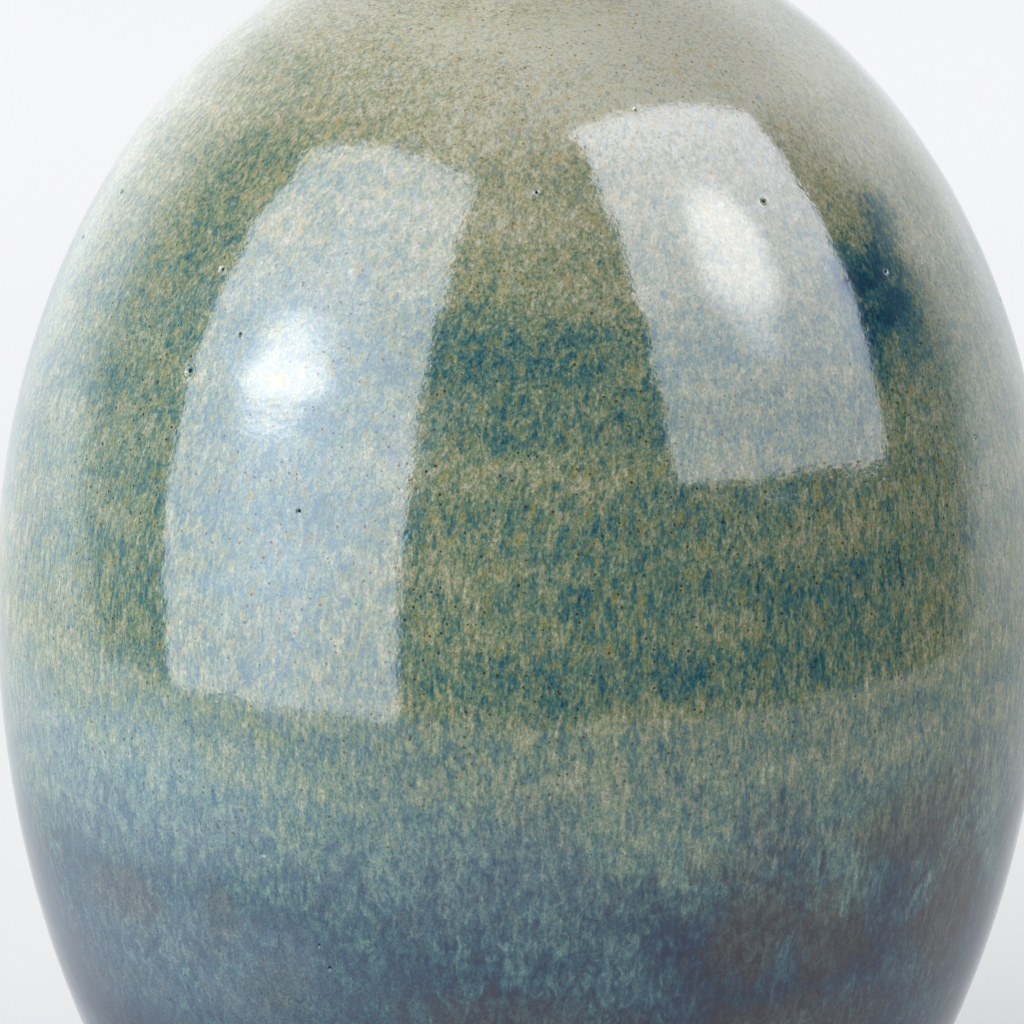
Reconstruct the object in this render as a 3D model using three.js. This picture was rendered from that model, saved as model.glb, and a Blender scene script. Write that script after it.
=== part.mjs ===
// A ceramic bud vase: a round, wheel-thrown bottle with a short waisted neck and a turned foot.
// The clay is thrown in sections that are luted together with slip at keyed joints, and then
// glazed in three coats: a liner inside, a base coat outside, and an over coat that runs from
// the lip down past the belly. Every piece is a body of revolution about Z.
// Millimetres, +Z up. The origin is the centre of the foot, on the surface the vase stands on.

import * as THREE from 'three';

// The finished outside, over the glaze.
const BELLY_RADIUS = 57;
const BELLY_HEIGHT = 77;
const UPPER_RISE = 73.8; // semi-height of the ellipse above the belly
const LOWER_DROP = 87.7; // semi-height of the ellipse below the belly
const SHOULDER_RADIUS = 21; // where the shoulder turns up into the neck
const NECK_RADIUS = 12; // at the waist of the neck
const LIP_SPREAD = 4.5; // how far the lip flares past the waist
const LIP_TURN = THREE.MathUtils.degToRad(50);

// Clay and glaze thicknesses.
const BODY_WALL = 4;
const NECK_WALL = 2.8;
const FLOOR_THICKNESS = 6;
const LINER_COAT = 0.4;
const BASE_COAT = 0.4;
const OVER_COAT = 0.5;

// Where the coats end.
const BASE_COAT_EDGE = 8; // height of the lowest glaze, above the bare foot
const OVER_COAT_EDGE = 58; // height where the over coat runs out
const OVER_COAT_FEATHER = 14; // height over which it thins away
const LIP_COAT_TURN = THREE.MathUtils.degToRad(135); // how far round the lip the outer coats roll

// The luted joints: a V key round the belly, a stepped key at the neck, a square key at the foot.
const SLIP = 0.3;
const BELLY_KEY_WIDTH = 1.6;
const BELLY_KEY_DEPTH = 1.6;
const NECK_KEY_LENGTH = 2;
const FOOT_KEY_INNER = 25;
const FOOT_KEY_OUTER = 28;
const FOOT_KEY_HEIGHT = 1.9;

// The foot ring.
const FOOT_HEIGHT = 6;
const FOOT_TOP_RADIUS = 31;
const FOOT_SOLE_RADIUS = 28.7;
const FOOT_RECESS_TOP_RADIUS = 22.3;
const FOOT_RECESS_RADIUS = 23;
const FOOT_CHAMFER = 0.8;

// The inside of the floor.
const FLOOR_FILLET_TOP = 20; // outside height of the station where the wall meets the fillet
const FLOOR_FILLET_REACH = 9;

// Facets.
const SIDES = 32;
const LOWER_BARE_STEPS = 4; // foot to over-coat edge
const LOWER_COATED_STEPS = 2; // over-coat edge to belly
const LOWER_INSIDE_STEPS = 5; // floor fillet to belly
const UPPER_STEPS = 5;
const NECK_STEPS = 3;
const FLARE_STEPS = 2;
const CAP_STEP = THREE.MathUtils.degToRad(45);

const COATS = BASE_COAT + OVER_COAT;
const BODY_INNER_DEPTH = COATS + BODY_WALL;
const NECK_INNER_DEPTH = COATS + NECK_WALL;

// A station is a point of an outline with its outward normal; depth goes into the wall.
const station = (r, z, nr, nz) => ({ r, z, nr, nz });
const sink = (at, depth) => new THREE.Vector2(at.r - at.nr * depth, at.z - at.nz * depth);
const lowered = (point, drop) => new THREE.Vector2(point.x, point.y - drop);

function spaced(from, to, steps) {
  return Array.from({ length: steps + 1 }, (_, i) => from + ((to - from) * i) / steps);
}

// The body outline is two half ellipses that meet at the belly, where t is 0.
const riseAt = (t) => (t > 0 ? UPPER_RISE : LOWER_DROP);

function body(t) {
  const rise = riseAt(t);
  const across = rise * Math.cos(t);
  const along = BELLY_RADIUS * Math.sin(t);
  const length = Math.hypot(across, along);
  const r = BELLY_RADIUS * Math.cos(t);
  return station(r, BELLY_HEIGHT + rise * Math.sin(t), across / length, along / length);
}

function atHeight(z) {
  const offset = z - BELLY_HEIGHT;
  return Math.asin(offset / riseAt(offset));
}

const moved = (t, distance) =>
  t + distance / Math.hypot(BELLY_RADIUS * Math.sin(t), riseAt(t) * Math.cos(t));

// The over coat thins to nothing at its lower edge, and the finished outside stays fair.
function overCoatAt(z) {
  return OVER_COAT * THREE.MathUtils.smoothstep(z, OVER_COAT_EDGE, OVER_COAT_EDGE + OVER_COAT_FEATHER);
}

const outsideClay = (at) => sink(at, BASE_COAT + overCoatAt(at.z));
const outsideBase = (at) => sink(at, overCoatAt(at.z));
const outsideOver = (at) => sink(at, 0);

// Parameters of the joints along the body outline.
const bellyTop = moved(Number.EPSILON, SLIP);
const shoulder = Math.acos(SHOULDER_RADIUS / BELLY_RADIUS);
const neckFoot = moved(shoulder, SLIP);
const keyEnd = moved(shoulder, -NECK_KEY_LENGTH);
const keyEndTop = moved(keyEnd, SLIP);

// Outside stations, from the foot to the lip.
const overEdge = atHeight(OVER_COAT_EDGE);
const bareStations = spaced(atHeight(BASE_COAT_EDGE), overEdge, LOWER_BARE_STEPS).map(body);
const coatedStations = spaced(overEdge, 0, LOWER_COATED_STEPS).map(body);
const lowerStations = [...bareStations, ...coatedStations.slice(1)];
const upperStations = spaced(bellyTop, shoulder, UPPER_STEPS).map(body);

// The neck is one arc that turns the shoulder upright and one that flares out to the lip.
// Both curve round a centre outside the wall; lean is the normal's angle above the horizontal.
function neckArc(start, radius, fromLean, toLean, steps) {
  const centreR = start.r + start.nr * radius;
  const centreZ = start.z + start.nz * radius;
  return spaced(fromLean, toLean, steps).map((lean) => {
    const nr = Math.cos(lean);
    const nz = Math.sin(lean);
    return station(centreR - nr * radius, centreZ - nz * radius, nr, nz);
  });
}

const neckStart = body(neckFoot);
const neckTurnRadius = (neckStart.r - NECK_RADIUS) / (1 - neckStart.nr);
const neckLean = Math.atan2(neckStart.nz, neckStart.nr);
const turnStations = neckArc(neckStart, neckTurnRadius, neckLean, 0, NECK_STEPS);
const waist = turnStations[NECK_STEPS];
const flareRadius = LIP_SPREAD / (1 - Math.cos(LIP_TURN));
const flareStations = neckArc(waist, flareRadius, 0, -LIP_TURN, FLARE_STEPS).slice(1);
const neckStations = [...turnStations, ...flareStations];
const lip = neckStations[neckStations.length - 1];

// The lip is rolled round the middle of the neck's wall, from its outside to its inside.
function lipStation(turn) {
  const centre = sink(lip, COATS + NECK_WALL / 2);
  const nr = lip.nr * Math.cos(turn) - lip.nz * Math.sin(turn);
  const nz = lip.nz * Math.cos(turn) + lip.nr * Math.sin(turn);
  const reach = NECK_WALL / 2 + COATS;
  return station(centre.x + nr * reach, centre.y + nz * reach, nr, nz);
}

const rolledSteps = Math.round(LIP_COAT_TURN / CAP_STEP);
const rolledStations = spaced(0, LIP_COAT_TURN, rolledSteps).slice(1).map(lipStation);
const rolledEnd = rolledStations[rolledStations.length - 1];

// Inside stations lie on the clay, from the middle of the floor to the roll of the lip.
const onClay = (at, depth) => {
  const point = sink(at, depth);
  return station(point.x, point.y, at.nr, at.nz);
};
const facingIn = (at) => station(at.r, at.z, -at.nr, -at.nz);
const insideBody = (t) => onClay(body(t), BODY_INNER_DEPTH);

function floorStations() {
  const floorZ = FOOT_HEIGHT + FLOOR_THICKNESS;
  const wall = insideBody(atHeight(FLOOR_FILLET_TOP));
  const cornerR = wall.r + ((wall.z - floorZ) * wall.nz) / wall.nr;
  const fillet = new THREE.QuadraticBezierCurve(
    new THREE.Vector2(cornerR - FLOOR_FILLET_REACH, floorZ),
    new THREE.Vector2(cornerR, floorZ),
    new THREE.Vector2(wall.r, wall.z),
  );
  const curved = spaced(0, 0.75, 3).map((u) => {
    const point = fillet.getPoint(u);
    const tangent = fillet.getTangent(u);
    return station(point.x, point.y, tangent.y, -tangent.x);
  });
  return [station(0, floorZ, 0, -1), ...curved];
}

const lowerInside = [
  ...floorStations(),
  ...spaced(atHeight(FLOOR_FILLET_TOP), 0, LOWER_INSIDE_STEPS).map(insideBody),
];
const upperInside = spaced(bellyTop, keyEnd, UPPER_STEPS).map(insideBody);
const neckInside = [
  insideBody(keyEndTop),
  ...neckStations.map((at, i) => {
    const thinning = Math.min(i / NECK_STEPS, 1);
    return onClay(at, THREE.MathUtils.lerp(BODY_INNER_DEPTH, NECK_INNER_DEPTH, thinning));
  }),
];
const rolledInside = facingIn(onClay(rolledEnd, COATS));

// Joint faces, each listed from the outside of the wall to the inside.
function bellyFace(t) {
  const at = body(t);
  const middle = COATS + BODY_WALL / 2;
  return [
    sink(at, COATS),
    sink(at, middle - BELLY_KEY_WIDTH / 2),
    lowered(sink(at, middle), BELLY_KEY_DEPTH),
    sink(at, middle + BELLY_KEY_WIDTH / 2),
    sink(at, BODY_INNER_DEPTH),
  ];
}

function neckFace(outerT, innerT, stepDepth) {
  return [
    sink(body(outerT), COATS),
    sink(body(outerT), stepDepth),
    sink(body(innerT), stepDepth),
    sink(body(innerT), BODY_INNER_DEPTH),
  ];
}

function footFace(z, slack) {
  const top = FOOT_HEIGHT + FOOT_KEY_HEIGHT - SLIP + slack;
  return [
    new THREE.Vector2(FOOT_TOP_RADIUS, z),
    new THREE.Vector2(FOOT_KEY_OUTER + slack, z),
    new THREE.Vector2(FOOT_KEY_OUTER + slack, top),
    new THREE.Vector2(FOOT_KEY_INNER - slack, top),
    new THREE.Vector2(FOOT_KEY_INNER - slack, z),
    new THREE.Vector2(FOOT_RECESS_TOP_RADIUS, z),
  ];
}

const bellyLowerFace = bellyFace(0);
const bellyUpperFace = bellyFace(bellyTop);
const neckStep = COATS + BODY_WALL / 2;
const shoulderFace = neckFace(shoulder, keyEnd, neckStep);
const spigotFace = neckFace(neckFoot, keyEndTop, neckStep + SLIP);
const footGroove = footFace(FOOT_HEIGHT, SLIP);
const footTongue = footFace(FOOT_HEIGHT - SLIP, 0);

const reversed = (points) => [...points].reverse();

// Turns a closed outline, listed anticlockwise with the radius to the right, about Z.
function turned(name, outline, finish) {
  const onAxis = outline[0].x === 0;
  const closed = onAxis ? outline : [...outline, outline[0]];
  const geometry = new THREE.LatheGeometry(closed, SIDES);
  geometry.rotateX(Math.PI / 2);
  const mesh = new THREE.Mesh(geometry, new THREE.MeshStandardMaterial(finish));
  mesh.name = name;
  return mesh;
}

const CLAY = { color: 0xa5805f, roughness: 0.85, metalness: 0 };
const SLIP_CLAY = { color: 0x8d6c50, roughness: 0.9, metalness: 0 };
const LINER = { color: 0x7f8f86, roughness: 0.2, metalness: 0 };
const BASE = { color: 0x3f4560, roughness: 0.15, metalness: 0 };
const OVER = { color: 0x66765c, roughness: 0.12, metalness: 0 };

function footRing() {
  const outline = [
    new THREE.Vector2(FOOT_RECESS_RADIUS + FOOT_CHAMFER, 0),
    new THREE.Vector2(FOOT_SOLE_RADIUS, 0),
    new THREE.Vector2(FOOT_SOLE_RADIUS + FOOT_CHAMFER, FOOT_CHAMFER),
    ...footTongue,
    new THREE.Vector2(FOOT_RECESS_RADIUS, FOOT_CHAMFER),
  ];
  return turned('foot_ring', outline, CLAY);
}

function footSlipSeam() {
  return turned('foot_slip_seam', [...reversed(footTongue), ...footGroove], SLIP_CLAY);
}

function lowerBodySection() {
  const outline = [
    new THREE.Vector2(0, FOOT_HEIGHT),
    ...reversed(footGroove),
    ...lowerStations.slice(0, -1).map(outsideClay),
    ...bellyLowerFace,
    ...reversed(lowerInside.slice(0, -1)).map((at) => sink(at, 0)),
  ];
  return turned('lower_body_section', outline, CLAY);
}

function bellySlipSeam() {
  return turned('belly_slip_seam', [...reversed(bellyLowerFace), ...bellyUpperFace], SLIP_CLAY);
}

function upperBodySection() {
  const outline = [
    ...upperStations.slice(0, -1).map(outsideClay),
    ...shoulderFace,
    ...reversed(upperInside.slice(1, -1)).map((at) => sink(at, 0)),
    ...reversed(bellyUpperFace.slice(1)),
  ];
  return turned('upper_body_section', outline, CLAY);
}

function neckSlipSeam() {
  return turned('neck_slip_seam', [...reversed(shoulderFace), ...spigotFace], SLIP_CLAY);
}

function neckSection() {
  const outline = [
    ...neckStations.map(outsideClay),
    ...rolledStations.map(outsideClay),
    ...reversed(neckInside.slice(1)).map((at) => sink(at, 0)),
    ...reversed(spigotFace.slice(1)),
  ];
  return turned('neck_section', outline, CLAY);
}

function linerGlaze() {
  const stations = [...lowerInside, ...upperInside, ...neckInside, rolledInside];
  const claySide = stations.map((at) => sink(at, 0));
  const hollowSide = reversed(stations).map((at) => sink(at, LINER_COAT));
  return turned('liner_glaze', [...claySide, ...hollowSide], LINER);
}

const outsideStations = [...lowerStations, ...upperStations, ...neckStations, ...rolledStations];

function baseGlaze() {
  const claySide = reversed(outsideStations).map(outsideClay);
  return turned('base_glaze', [...outsideStations.map(outsideBase), ...claySide], BASE);
}

function overGlaze() {
  const covered = outsideStations.slice(LOWER_BARE_STEPS);
  const baseSide = reversed(covered.slice(1)).map(outsideBase);
  return turned('over_glaze', [...covered.map(outsideOver), ...baseSide], OVER);
}

const vase = new THREE.Group();
vase.add(
  footRing(),
  footSlipSeam(),
  lowerBodySection(),
  bellySlipSeam(),
  upperBodySection(),
  neckSlipSeam(),
  neckSection(),
  linerGlaze(),
  baseGlaze(),
  overGlaze(),
);

export default vase;
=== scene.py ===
import math
import random

import bmesh
import bpy
import numpy as np
from mathutils import Matrix, Vector


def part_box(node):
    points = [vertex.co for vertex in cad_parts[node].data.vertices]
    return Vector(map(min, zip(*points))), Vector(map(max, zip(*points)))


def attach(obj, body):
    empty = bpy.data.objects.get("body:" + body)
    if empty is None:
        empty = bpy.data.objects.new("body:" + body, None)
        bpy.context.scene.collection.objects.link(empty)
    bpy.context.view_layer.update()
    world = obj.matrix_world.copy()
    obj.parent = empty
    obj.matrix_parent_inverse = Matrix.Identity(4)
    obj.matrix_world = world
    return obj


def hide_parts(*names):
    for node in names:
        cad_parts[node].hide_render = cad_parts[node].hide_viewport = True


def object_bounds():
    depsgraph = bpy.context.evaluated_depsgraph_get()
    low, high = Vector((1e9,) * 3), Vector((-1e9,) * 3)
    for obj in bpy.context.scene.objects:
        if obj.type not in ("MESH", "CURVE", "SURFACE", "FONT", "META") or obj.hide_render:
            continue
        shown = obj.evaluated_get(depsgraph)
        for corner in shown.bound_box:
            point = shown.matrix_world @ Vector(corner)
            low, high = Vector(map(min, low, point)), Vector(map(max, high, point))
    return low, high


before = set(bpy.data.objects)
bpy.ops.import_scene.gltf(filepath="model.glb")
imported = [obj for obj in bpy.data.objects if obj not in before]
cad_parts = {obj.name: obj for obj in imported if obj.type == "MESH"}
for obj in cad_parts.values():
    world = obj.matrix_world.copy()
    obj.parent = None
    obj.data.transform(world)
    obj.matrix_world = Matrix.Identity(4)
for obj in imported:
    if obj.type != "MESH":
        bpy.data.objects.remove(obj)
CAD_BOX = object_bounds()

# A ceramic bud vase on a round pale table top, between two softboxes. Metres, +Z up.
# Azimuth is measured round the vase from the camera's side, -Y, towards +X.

MM = 0.001
TURN = 2 * math.pi
random.seed(7)

# ---------------------------------------------------------------------------------------------
# Sizes. The driving ones repeat the CAD model's, and heights come from its nodes.
# ---------------------------------------------------------------------------------------------
BELLY_RADIUS = CAD_BOX[1].x
BELLY_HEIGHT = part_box("lower_body_section")[1].z
UPPER_RISE = 73.8 * MM
LOWER_DROP = 87.7 * MM
SHOULDER_RADIUS = 21 * MM
NECK_RADIUS = 12 * MM
LIP_SPREAD = 4.5 * MM
LIP_TURN = math.radians(50)
LIP_COAT_TURN = math.radians(135)
BODY_WALL = 4 * MM
NECK_WALL = 2.8 * MM
LINER_COAT = 0.4 * MM
BASE_COAT = 0.4 * MM
OVER_COAT = 0.5 * MM
COATS = BASE_COAT + OVER_COAT
OVER_COAT_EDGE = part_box("over_glaze")[0].z
OVER_COAT_FEATHER = 14 * MM
BASE_COAT_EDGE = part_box("base_glaze")[0].z
SLIP = 0.3 * MM
BELLY_KEY_WIDTH = 1.6 * MM
BELLY_KEY_DEPTH = 1.6 * MM
NECK_KEY_LENGTH = 2 * MM
FOOT_KEY_INNER = 25 * MM
FOOT_KEY_OUTER = 28 * MM
FOOT_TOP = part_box("foot_slip_seam")[0].z
FLOOR_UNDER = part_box("lower_body_section")[0].z
FLOOR_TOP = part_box("liner_glaze")[0].z
FOOT_KEY_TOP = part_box("foot_ring")[1].z
FOOT_TOP_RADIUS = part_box("foot_ring")[1].x
FOOT_SOLE_RADIUS = 28.7 * MM
FOOT_RECESS_TOP_RADIUS = 22.3 * MM
FOOT_RECESS_RADIUS = 23 * MM
FLOOR_FILLET_TOP = 20 * MM
FLOOR_FILLET_REACH = 9 * MM

SIDES = 320
ROW = 0.9 * MM  # spacing of rows on a visible face
HIDDEN_ROW = 4 * MM  # spacing of rows on a face that another piece covers
NEST = 0.01 * MM  # what a covered face stands back from its neighbour
HIDDEN_SHARE = 0.12  # the texture a covered face gets for its length, where a visible one gets 1


# ---------------------------------------------------------------------------------------------
# Outlines. A run of stations is an array of rows: radius, height, outward normal's two parts.
# ---------------------------------------------------------------------------------------------
def body(t):
    """Stations on the two half ellipses that meet at the belly, where t is 0."""
    t = np.asarray(t, float)
    rise = np.where(t > 0, UPPER_RISE, LOWER_DROP)
    across, along = rise * np.cos(t), BELLY_RADIUS * np.sin(t)
    length = np.hypot(across, along)
    r = BELLY_RADIUS * np.cos(t)
    return np.column_stack([r, BELLY_HEIGHT + rise * np.sin(t), across / length, along / length])


def at_height(z):
    offset = z - BELLY_HEIGHT
    return math.asin(offset / (UPPER_RISE if offset > 0 else LOWER_DROP))


def moved(t, distance):
    rise = UPPER_RISE if t > 0 else LOWER_DROP
    return t + distance / math.hypot(BELLY_RADIUS * math.sin(t), rise * math.cos(t))


def neck_arc(start, radius, from_lean, to_lean, steps=40):
    lean = np.linspace(from_lean, to_lean, steps)
    nr, nz = np.cos(lean), np.sin(lean)
    centre_r, centre_z = start[0] + start[2] * radius, start[1] + start[3] * radius
    return np.column_stack([centre_r - nr * radius, centre_z - nz * radius, nr, nz])


def sink(run, depth):
    """The points of a run, moved into the wall; the normals stay."""
    depth = np.broadcast_to(depth, len(run))
    out = run.copy()
    out[:, 0] -= run[:, 2] * depth
    out[:, 1] -= run[:, 3] * depth
    return out


def facing_in(run):
    return run * np.array([1, 1, -1, -1])


def lip_roll(lip, from_turn, to_turn, steps=40):
    """Stations round the rolled lip, over the glaze."""
    centre = sink(lip[None], COATS + NECK_WALL / 2)[0]
    turn = np.linspace(from_turn, to_turn, steps)
    nr = lip[2] * np.cos(turn) - lip[3] * np.sin(turn)
    nz = lip[3] * np.cos(turn) + lip[2] * np.sin(turn)
    reach = NECK_WALL / 2 + COATS
    return np.column_stack([centre[0] + nr * reach, centre[1] + nz * reach, nr, nz])


def even(run, spacing):
    """The same line with stations evenly spaced along it."""
    length = np.concatenate([[0], np.cumsum(np.hypot(*np.diff(run[:, :2], axis=0).T))])
    count = max(int(round(length[-1] / spacing)), 1) + 1
    at = np.linspace(0, length[-1], count)
    out = np.column_stack([np.interp(at, length, run[:, k]) for k in range(4)])
    out[:, 2:] /= np.hypot(out[:, 2], out[:, 3])[:, None]
    return out


def smoothstep(x, low, high):
    x = np.clip((x - low) / (high - low), 0, 1)
    return x * x * (3 - 2 * x)


def over_coat_at(z):
    return OVER_COAT * smoothstep(z, OVER_COAT_EDGE, OVER_COAT_EDGE + OVER_COAT_FEATHER)


SHOULDER = math.acos(SHOULDER_RADIUS / BELLY_RADIUS)
NECK_FOOT = moved(SHOULDER, SLIP)
KEY_END = moved(SHOULDER, -NECK_KEY_LENGTH)
KEY_END_TOP = moved(KEY_END, SLIP)
BELLY_TOP = moved(1e-9, SLIP)


def body_run(from_t, to_t):
    return body(np.linspace(from_t, to_t, 200))


def neck_run():
    start = body([NECK_FOOT])[0]
    turn_radius = (start[0] - NECK_RADIUS) / (1 - start[2])
    lean = math.atan2(start[3], start[2])
    turned_up = neck_arc(start, turn_radius, lean, 0)
    flare_radius = LIP_SPREAD / (1 - math.cos(LIP_TURN))
    flare = neck_arc(turned_up[-1], flare_radius, 0, -LIP_TURN)
    return np.vstack([turned_up, flare[1:]])


NECK = neck_run()
LIP = NECK[-1]
ROLL = lip_roll(LIP, 0, LIP_COAT_TURN)
BARE_T, OVER_T = at_height(BASE_COAT_EDGE), at_height(OVER_COAT_EDGE)
OUTSIDE = np.vstack([body_run(BARE_T, 0), body_run(0, NECK_FOOT)[1:], NECK[1:], ROLL[1:]])
OVER_OUTSIDE = np.vstack([body_run(OVER_T, 0), body_run(0, NECK_FOOT)[1:], NECK[1:], ROLL[1:]])
INNER_DEPTH = COATS + BODY_WALL


def inside_body(from_t, to_t):
    return sink(body_run(from_t, to_t), INNER_DEPTH)


def neck_inside():
    waist = np.argmin(NECK[:, 0])
    thinning = np.clip(np.arange(len(NECK)) / waist, 0, 1)
    return sink(NECK, INNER_DEPTH + (NECK_WALL - BODY_WALL) * thinning)


def floor_run():
    """The top of the clay floor and the fillet up to the wall, with normals into the clay."""
    wall = inside_body(at_height(FLOOR_FILLET_TOP), 0)[0]
    floor_z = FLOOR_TOP
    corner_r = wall[0] + (wall[1] - floor_z) * wall[3] / wall[2]
    u = np.linspace(0, 1, 30)[:, None]
    start, corner, end = (corner_r - FLOOR_FILLET_REACH, floor_z), (corner_r, floor_z), wall[:2]
    start, corner, end = map(np.array, (start, corner, end))
    point = (1 - u) ** 2 * start + 2 * u * (1 - u) * corner + u**2 * end
    tangent = (1 - u) * (corner - start) + u * (end - corner)
    tangent /= np.hypot(*tangent.T)[:, None]
    curved = np.column_stack([point, tangent[:, 1], -tangent[:, 0]])
    flat = np.array([[r, floor_z, 0, -1] for r in np.linspace(0, start[0], 12)])
    return np.vstack([flat[:-1], curved])


FLOOR = floor_run()
LOWER_INSIDE = np.vstack([FLOOR, inside_body(at_height(FLOOR_FILLET_TOP), 0)[1:]])
NECK_INSIDE = neck_inside()
ROLL_INSIDE = facing_in(sink(lip_roll(LIP, math.pi, LIP_COAT_TURN), COATS))
INSIDE = np.vstack([LOWER_INSIDE, inside_body(0, NECK_FOOT)[1:], NECK_INSIDE[1:], ROLL_INSIDE[1:]])


# ---------------------------------------------------------------------------------------------
# Relief of the thrown wall, as a distance along the outward normal.
# ---------------------------------------------------------------------------------------------
RING_PITCH = 8.05 * MM
RING_START = 0.415  # turns, so that a groove passes the camera's side 83.2 mm up
RING_DEPTH = 0.03 * MM
WALL_WOBBLE = 0.05 * MM


def outside_relief(z, angle):
    """Faint throwing rings and a slow wobble. It is never proud of the CAD outline."""
    winding = z / RING_PITCH - angle / TURN + RING_START
    strength = 0.25 + 0.75 * smoothstep(z, 92 * MM, 106 * MM)
    strength = strength * (0.7 + 0.3 * np.sin(angle * 2 + z / (14 * MM)))
    strength = strength * (1 - smoothstep(z, 140 * MM, 170 * MM))
    rings = RING_DEPTH * strength * (np.sin(TURN * winding) - 1)
    wobble = 0.5 * np.sin(2 * angle + 0.7 + z / (60 * MM)) + 0.3 * np.sin(3 * angle - z / (35 * MM))
    upright = 1 - smoothstep(z, 120 * MM, 150 * MM)
    return rings + WALL_WOBBLE * upright * (wobble - 0.8)


def inside_relief(z, angle):
    """Deeper finger ridges, which nobody smooths on the inside."""
    winding = z / (8 * MM) - angle / TURN + 0.1 * np.sin(z / (11 * MM))
    strength = smoothstep(z, 18 * MM, 30 * MM) * (1 - smoothstep(z, 132 * MM, 140 * MM))
    return 0.15 * MM * strength * (np.sin(TURN * winding) - 1)


def no_relief(z, angle):
    return np.zeros(np.broadcast(z, angle).shape)


# ---------------------------------------------------------------------------------------------
# Meshes
# ---------------------------------------------------------------------------------------------
def skin(run, depth, relief, room):
    """One side of a shell: its stations, the relief it carries and its share of the texture."""
    run = even(run, ROW if room else HIDDEN_ROW) if len(run) > 2 else run
    depth = depth(run[:, 1]) if callable(depth) else depth
    return {"home": run[:, 1], "run": sink(run, depth), "relief": relief, "room": room}


def turned(name, skins, sides=SIDES):
    """A closed piece turned about Z from skins listed anticlockwise, the radius to the right."""
    angle = np.arange(sides) * TURN / sides
    rows, share = [], []
    for part in skins:
        run, home = part["run"], part["home"]
        lift = part["relief"](home[:, None], angle[None, :])
        r = run[:, 0:1] + run[:, 2:3] * lift
        z = run[:, 1:2] + run[:, 3:4] * lift
        rows.append(np.stack([r * np.sin(angle), -r * np.cos(angle), z], -1))
        length = np.hypot(*np.diff(run[:, :2], axis=0, prepend=run[:1, :2]).T)
        share.append(np.maximum(length, 0.1 * MM) * (part["room"] or HIDDEN_SHARE))
    rows = np.concatenate(rows)
    share = np.concatenate(share)
    v = np.cumsum(share) / (share.sum() * 1.01)
    on_axis = np.hypot(rows[:, 0, 0], rows[:, 0, 1]) < 1e-9
    count = len(rows)
    points, start = [], []
    for i in range(count):
        start.append(len(points))
        points.extend(rows[i, :1] if on_axis[i] else rows[i])
    faces, corners = [], []
    closes = not on_axis[0]
    for i in range(count if closes else count - 1):
        k = (i + 1) % count
        v0, v1 = v[i], (v[k] if k else 1.0)
        if on_axis[i] and on_axis[k]:
            continue
        for j in range(sides):
            m = (j + 1) % sides
            u0, u1 = j / sides, (j + 1) / sides
            if on_axis[i]:
                faces.append((start[i], start[k] + m, start[k] + j))
                corners.extend([((u0 + u1) / 2, v0), (u1, v1), (u0, v1)])
            elif on_axis[k]:
                faces.append((start[i] + j, start[i] + m, start[k]))
                corners.extend([(u0, v0), (u1, v0), ((u0 + u1) / 2, v1)])
            else:
                faces.append((start[i] + j, start[i] + m, start[k] + m, start[k] + j))
                corners.extend([(u0, v0), (u1, v0), (u1, v1), (u0, v1)])
    mesh = bpy.data.meshes.new(name)
    mesh.from_pydata([tuple(p) for p in points], [], faces)
    layer = mesh.uv_layers.new(name="OFBake")
    layer.data.foreach_set("uv", np.array(corners, np.float32).ravel())
    mesh.polygons.foreach_set("use_smooth", [True] * len(mesh.polygons))
    mesh.update()
    obj = bpy.data.objects.new(name, mesh)
    bpy.context.scene.collection.objects.link(obj)
    return obj


def finish_piece(obj, material, node, sharp=None):
    obj.data.materials.append(material)
    if sharp:
        obj.data.set_sharp_from_angle(angle=sharp)
    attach(obj, "root")
    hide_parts(node)
    return obj


# ---------------------------------------------------------------------------------------------
# Pinholes: small open craters where a bubble burst in the glaze. Azimuth in degrees, height in
# millimetres, radius in millimetres. The first ones lie where the photograph shows them, with places
# worked out from it and rounded, and radii set one by one. The rest are scattered.
# ---------------------------------------------------------------------------------------------
FRONT_PINHOLES = [
    (-75, 123, 0.28), (-43, 120, 0.34), (-43, 110, 0.42), (-37, 114.5, 0.26), (-25, 98.5, 0.30),
    (1, 130, 0.30), (36, 128, 0.38), (53, 119.5, 0.32), (61, 101.5, 0.30), (19, 137, 0.26),
    (-28, 62, 0.34), (-22, 52.5, 0.26), (-21, 50, 0.32),
]
PINHOLE_COUNT = 30
PINHOLE_SPACING = 14  # degrees and millimetres apart, added up
PINHOLE_REACH = 0.95 * MM  # how far round a pinhole the mesh is made finer
PINHOLE_CUTS = 12
# The shape of one, in its radii: a wide shallow dish, and in it a narrow hole off the middle.
DISH_WIDTH = 1.4
DISH_DEPTH = 0.30
HOLE_WIDTH = 0.62
HOLE_DEPTH = 0.8
HOLE_PLACE = Vector((0.2, 0, 0.3))
RIM_HEIGHT = 0.06
RIM_WIDTH = 1.5  # in dish widths


def pinholes():
    found = list(FRONT_PINHOLES)
    while len(found) < PINHOLE_COUNT:
        azimuth, height = random.uniform(75, 280), random.uniform(20, 138)
        if all(abs(azimuth - a) + abs(height - h) > PINHOLE_SPACING for a, h, _ in found):
            found.append((azimuth, height, random.uniform(0.22, 0.4)))
    return found


def surface(z, angle, run):
    """Radius and normal of the outside at a height on the body, with its relief."""
    r = np.interp(z, run[:, 1], run[:, 0])
    nr = np.interp(z, run[:, 1], run[:, 2])
    nz = np.interp(z, run[:, 1], run[:, 3])
    return r + outside_relief(z, angle) / nr, nr, nz


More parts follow.
